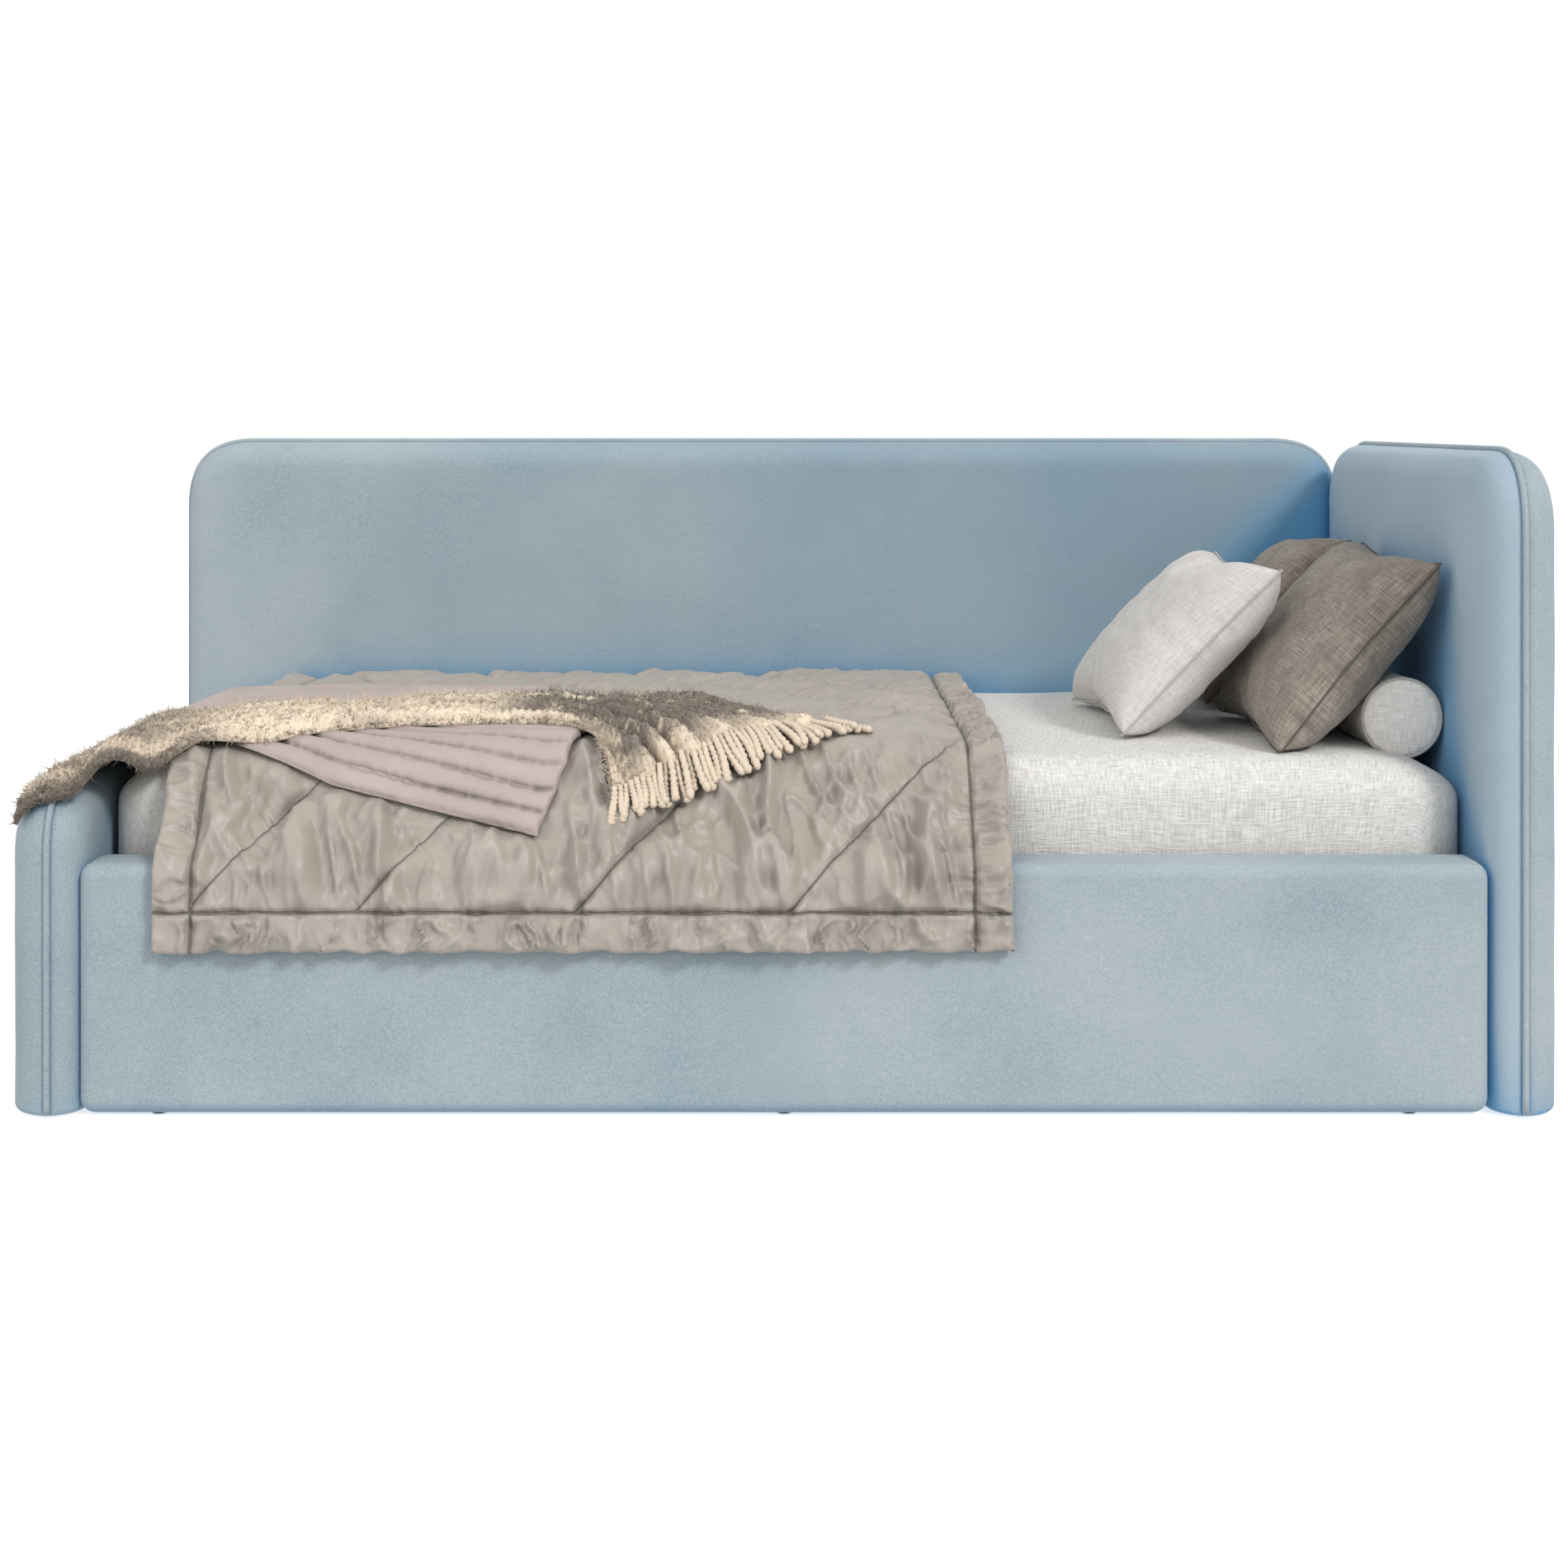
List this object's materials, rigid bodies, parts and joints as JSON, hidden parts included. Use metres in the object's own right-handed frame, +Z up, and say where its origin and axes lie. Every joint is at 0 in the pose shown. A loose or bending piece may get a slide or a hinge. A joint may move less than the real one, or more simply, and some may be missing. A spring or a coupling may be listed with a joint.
{
  "type": "upholstered corner daybed",
  "caption": "Single daybed with a low foot panel, tall head and back panels, an upholstered rail and a side-lifting slatted base over a storage box, dressed with bedding.",
  "frame": {"origin": "floor level, at the flat bottom of the centre foot under the middle of the storage box", "axes": "+X along the bed to the tall head panel, +Y to the back panel, +Z up"},
  "size_m": [2.238, 1.125, 0.9613],
  "materials": {
    "velvet": "short powder-blue velvet pile",
    "board": "birch-faced board, matt lacquer",
    "timber": "planed beech, matt",
    "black_plastic": "matt moulded nylon",
    "rubber": "matt rubber",
    "zinc": "zinc-plated steel",
    "grey_steel": "fine-textured grey powder coat",
    "black_steel": "satin black paint",
    "linen": "off-white slub linen",
    "taupe_linen": "washed taupe linen",
    "taupe_satin": "quilted taupe sateen",
    "pink_cotton": "channel-quilted dusty pink cotton",
    "wool": "brushed mohair and wool"
  },
  "bodies": {
    "bedstead": {"head_panel_core": "board", "head_panel_inner_pad": "velvet", "head_panel_outer_pad": "velvet", "head_panel_piping": "velvet", "foot_panel_core": "board", "foot_panel_inner_pad": "velvet", "foot_panel_outer_pad": "velvet", "foot_panel_piping": "velvet", "back_panel_core": "board", "back_panel_front_pad": "velvet", "back_panel_rear_pad": "velvet", "back_panel_piping": "velvet", "front_rail_board": "board", "front_rail_pad": "velvet", "box_rear_board": "board", "box_head_board": "board", "box_foot_board": "board", "support_ledgers": "timber", "storage_floor": "board", "floor_bearers": "timber", "centre_feet": "black_plastic", "panel_glides": "black_plastic", "corner_brackets": "zinc", "bracket_screws": "zinc", "panel_bolts": "zinc", "rest_buffers": "rubber", "lift_plate_left": "grey_steel", "lift_plate_right": "grey_steel", "plate_bolts": "zinc", "pivot_studs": "zinc"},
    "lift_arms": {"lift_arm_left": "grey_steel", "lift_arm_right": "grey_steel", "sync_tube": "grey_steel", "strut_ball_studs": "zinc"},
    "control_left": {"control_arm_left": "grey_steel"},
    "control_right": {"control_arm_right": "grey_steel"},
    "strut_left": {"strut_cylinder_left": "black_steel"},
    "strut_right": {"strut_cylinder_right": "black_steel"},
    "rod_left": {"strut_rod_left": "zinc"},
    "rod_right": {"strut_rod_right": "zinc"},
    "base": {"base_frame": "grey_steel", "slats": "timber", "slat_holders": "black_plastic", "hinge_brackets": "grey_steel", "hinge_pins": "zinc", "mattress_stop": "zinc", "pull_strap": "velvet", "mattress": "linen", "quilt": "taupe_satin", "coverlet": "pink_cotton", "throw_blanket": "wool", "bolster": "linen", "cushion_white": "linen", "cushion_taupe_front": "taupe_linen", "cushion_taupe_rear": "taupe_linen"}
  },
  "joints": [
    {"name": "lift_arm", "type": "hinge", "parent": "bedstead", "child": "lift_arms", "pos_m": [0, 0.18349, 0.16], "axis": [1, 0, 0], "range_deg": [0, 80]},
    {"name": "base_tilt", "type": "hinge", "parent": "lift_arms", "child": "base", "pos_m": [0, 0.4, 0.285], "axis": [-1, 0, 0], "range_deg": [0, 120]},
    {"name": "control_left_swing", "type": "hinge", "parent": "bedstead", "child": "control_left", "pos_m": [0, 0.17, 0.1], "axis": [1, 0, 0], "range_deg": [0, 75]},
    {"name": "strut_left_swing", "type": "hinge", "parent": "bedstead", "child": "strut_left", "pos_m": [0, 0.04, 0.08], "axis": [1, 0, 0], "range_deg": [0, 21]},
    {"name": "rod_left_slide", "type": "slide", "parent": "strut_left", "child": "rod_left", "axis": [0, 0.9904, 0.1386], "range_m": [0, 0.0545]},
    {"name": "control_right_swing", "type": "hinge", "parent": "bedstead", "child": "control_right", "pos_m": [0, 0.17, 0.1], "axis": [1, 0, 0], "range_deg": [0, 75]},
    {"name": "strut_right_swing", "type": "hinge", "parent": "bedstead", "child": "strut_right", "pos_m": [0, 0.04, 0.08], "axis": [1, 0, 0], "range_deg": [0, 21]},
    {"name": "rod_right_slide", "type": "slide", "parent": "strut_right", "child": "rod_right", "axis": [0, 0.9904, 0.1386], "range_m": [0, 0.0545]}
  ],
  "couplings": [
    {"joint": "lift_arm", "follows": "base_tilt", "ratio": 0.6666},
    {"joint": "control_left_swing", "follows": "base_tilt", "ratio": 0.62134},
    {"joint": "strut_left_swing", "follows": "base_tilt", "ratio": 0.17132},
    {"joint": "rod_left_slide", "follows": "base_tilt", "m_per_rad": 0.025953},
    {"joint": "control_right_swing", "follows": "base_tilt", "ratio": 0.62134},
    {"joint": "strut_right_swing", "follows": "base_tilt", "ratio": 0.17132},
    {"joint": "rod_right_slide", "follows": "base_tilt", "m_per_rad": 0.025953}
  ]
}
